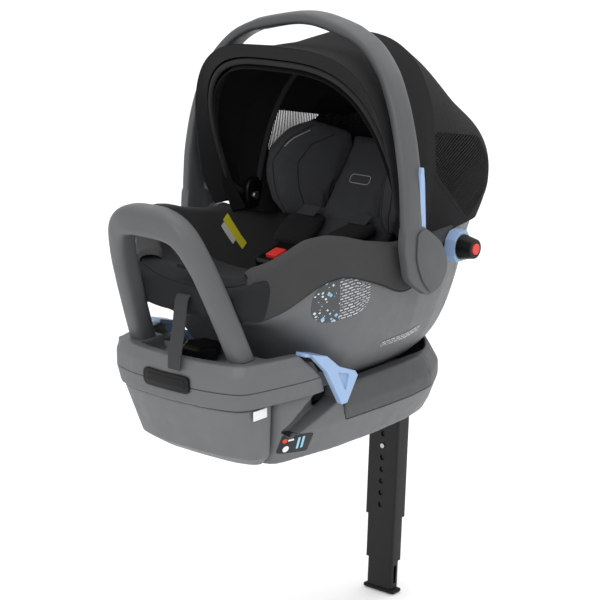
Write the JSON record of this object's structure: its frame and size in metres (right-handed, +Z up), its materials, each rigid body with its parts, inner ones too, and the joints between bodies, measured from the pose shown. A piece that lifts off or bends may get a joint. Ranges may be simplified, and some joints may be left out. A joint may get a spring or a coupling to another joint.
{
  "type": "infant car seat",
  "caption": "Rear-facing infant carrier with canopy, carry handle and harness, clicked on a vehicle base with an anti-rebound bar and a folding telescopic load leg.",
  "frame": {"origin": "on the flat underside of the base's lower shell, on the plane of symmetry, below the handle's hinge axis", "axes": "+X the child's left, -Y towards the child's feet and the anti-rebound bar, +Z up; the base is symmetric about the plane X = 0"},
  "size_m": [0.46, 0.7071, 0.9694],
  "materials": {
    "base_grey": "fine moulded texture",
    "base_dark_grey": "fine moulded texture",
    "shell_grey": "fine moulded texture",
    "black_gloss": "satin",
    "light_blue": "smooth",
    "red_plastic": "smooth",
    "white_plastic": "smooth",
    "zinc_steel": "zinc plated",
    "black_steel": "satin powder coat",
    "black_rubber": "matte",
    "seat_fabric": "fine woven",
    "canopy_fabric": "fine woven",
    "black_fabric": "soft knit",
    "webbing": "narrow woven"
  },
  "bodies": {
    "base": {"base_lower_shell": "base_grey", "base_rear_cover": "base_dark_grey", "base_front_rim": "base_grey", "name_plate": "black_gloss", "base_latch_frame": "black_steel", "anti_rebound_bar": "base_grey", "leg_bracket": "black_steel", "leg_pivot_pin": "zinc_steel"},
    "recline_foot": {"recline_foot": "base_grey", "recline_indicator_left": "white_plastic", "recline_indicator_right": "white_plastic"},
    "recline_knob": {"recline_knob": "black_gloss", "recline_screw": "zinc_steel"},
    "lockoff_left": {"lockoff_left": "light_blue"},
    "lockoff_right": {"lockoff_right": "light_blue"},
    "leg_outer": {"leg_outer_tube": "black_steel"},
    "leg_middle": {"leg_middle_tube": "black_steel"},
    "leg_inner": {"leg_inner_tube": "black_steel", "leg_foot_cap": "black_rubber"},
    "leg_button": {"leg_height_button": "zinc_steel"},
    "carrier": {"seat_shell": "shell_grey", "seat_lock_bar_front": "zinc_steel", "seat_lock_bar_rear": "zinc_steel", "seat_cover": "seat_fabric", "hub_housing_left": "base_grey", "hub_housing_right": "base_grey", "handle_pin_left": "zinc_steel", "handle_pin_right": "zinc_steel", "body_insert": "seat_fabric", "crotch_strap": "webbing", "buckle_housing": "black_gloss", "shoulder_pad_left": "black_fabric", "shoulder_pad_right": "black_fabric", "shoulder_strap_left": "webbing", "shoulder_strap_right": "webbing", "adjuster_strap": "webbing", "pod_mount_left": "light_blue", "pod_mount_right": "light_blue", "canopy_rear_cloth": "canopy_fabric", "canopy_pivot_left": "black_gloss", "canopy_pivot_right": "black_gloss", "canopy_rivet_left": "zinc_steel", "canopy_rivet_right": "zinc_steel"},
    "handle": {"handle_bar": "base_grey", "handle_hub_cover_left": "base_grey", "handle_hub_cover_right": "base_grey"},
    "handle_button_left": {"handle_button_left": "light_blue"},
    "handle_button_right": {"handle_button_right": "light_blue"},
    "pod_left": {"pod_knob_left": "black_gloss", "pod_cap_left": "red_plastic"},
    "pod_right": {"pod_knob_right": "black_gloss", "pod_cap_right": "red_plastic"},
    "head_cushion": {"head_cushion": "seat_fabric"},
    "buckle_button": {"buckle_button": "red_plastic"},
    "adjuster_button": {"adjuster_button": "base_grey"},
    "release_lever": {"base_release_lever": "light_blue"},
    "canopy_middle": {"canopy_middle_bow": "black_gloss"},
    "canopy_front": {"canopy_front_bow": "black_gloss", "canopy_front_cloth": "canopy_fabric"}
  },
  "joints": [
    {"name": "recline_foot_slide", "type": "slide", "parent": "base", "child": "recline_foot", "axis": [0, 0, -1], "range_m": [0, 0.04]},
    {"name": "recline_knob_turn", "type": "hinge", "parent": "base", "child": "recline_knob", "pos_m": [0, -0.259, 0.15], "axis": [0, 0, 1], "range_deg": [0, 720]},
    {"name": "lockoff_left_hinge", "type": "hinge", "parent": "base", "child": "lockoff_left", "pos_m": [0.155, -0.15, 0.08], "axis": [0, 1, 0], "range_deg": [0, 75]},
    {"name": "lockoff_right_hinge", "type": "hinge", "parent": "base", "child": "lockoff_right", "pos_m": [-0.155, -0.15, 0.08], "axis": [0, -1, 0], "range_deg": [0, 75]},
    {"name": "leg_fold", "type": "hinge", "parent": "base", "child": "leg_outer", "pos_m": [0, 0.188, -0.02], "axis": [-1, 0, 0], "range_deg": [0, 87]},
    {"name": "leg_middle_slide", "type": "slide", "parent": "leg_outer", "child": "leg_middle", "axis": [0, 0.0523, 0.9986], "range_m": [-0.1, 0.02]},
    {"name": "leg_inner_slide", "type": "slide", "parent": "leg_middle", "child": "leg_inner", "axis": [0, 0.0523, 0.9986], "range_m": [-0.09, 0.04]},
    {"name": "leg_button_press", "type": "slide", "parent": "leg_middle", "child": "leg_button", "axis": [0, 0.9986, -0.0523], "range_m": [0, 0.004], "stiffness_N_per_m": 600, "springref_m": -0.002},
    {"name": "carrier_lift", "type": "slide", "parent": "base", "child": "carrier", "axis": [0, 0, 1], "range_m": [0, 0.15]},
    {"name": "handle_turn", "type": "hinge", "parent": "carrier", "child": "handle", "pos_m": [0, -0.006, 0.27], "axis": [1, 0, 0], "range_deg": [-50, 40]},
    {"name": "handle_button_left_press", "type": "slide", "parent": "handle", "child": "handle_button_left", "axis": [0, -1, 0], "range_m": [0, 0.004], "stiffness_N_per_m": 600, "springref_m": -0.002},
    {"name": "handle_button_right_press", "type": "slide", "parent": "handle", "child": "handle_button_right", "axis": [0, -1, 0], "range_m": [0, 0.004], "stiffness_N_per_m": 600, "springref_m": -0.002},
    {"name": "pod_left_twist", "type": "hinge", "parent": "carrier", "child": "pod_left", "pos_m": [0.205, 0.09, 0.276], "axis": [1, 0, 0], "range_deg": [0, 90]},
    {"name": "pod_right_twist", "type": "hinge", "parent": "carrier", "child": "pod_right", "pos_m": [-0.205, 0.09, 0.276], "axis": [-1, 0, 0], "range_deg": [0, 90]},
    {"name": "head_cushion_raise", "type": "slide", "parent": "carrier", "child": "head_cushion", "axis": [0, 0.6, 0.8], "range_m": [0, 0.03]},
    {"name": "buckle_button_press", "type": "slide", "parent": "carrier", "child": "buckle_button", "axis": [0, 0.2419, -0.9703], "range_m": [0, 0.004], "stiffness_N_per_m": 600, "springref_m": -0.002},
    {"name": "adjuster_button_press", "type": "slide", "parent": "carrier", "child": "adjuster_button", "axis": [0, 0, -1], "range_m": [0, 0.0025], "stiffness_N_per_m": 600, "springref_m": -0.002},
    {"name": "release_lever_pull", "type": "slide", "parent": "carrier", "child": "release_lever", "axis": [0, 0.52, 0.8542], "range_m": [0, 0.01], "stiffness_N_per_m": 400, "springref_m": -0.004},
    {"name": "canopy_middle_turn", "type": "hinge", "parent": "carrier", "child": "canopy_middle", "pos_m": [0, 0.024, 0.317], "axis": [-1, 0, 0], "range_deg": [0, 30], "deforming": ["canopy_rear_cloth"]},
    {"name": "canopy_front_turn", "type": "hinge", "parent": "canopy_middle", "child": "canopy_front", "pos_m": [0, 0.024, 0.317], "axis": [-1, 0, 0], "range_deg": [0, 25.5], "deforming": ["canopy_front_cloth"]}
  ],
  "couplings": [
    {"joint": "recline_knob_turn", "follows": "recline_foot_slide", "rad_per_m": 314.16},
    {"joint": "canopy_front_turn", "follows": "canopy_middle_turn", "ratio": 0.85}
  ]
}
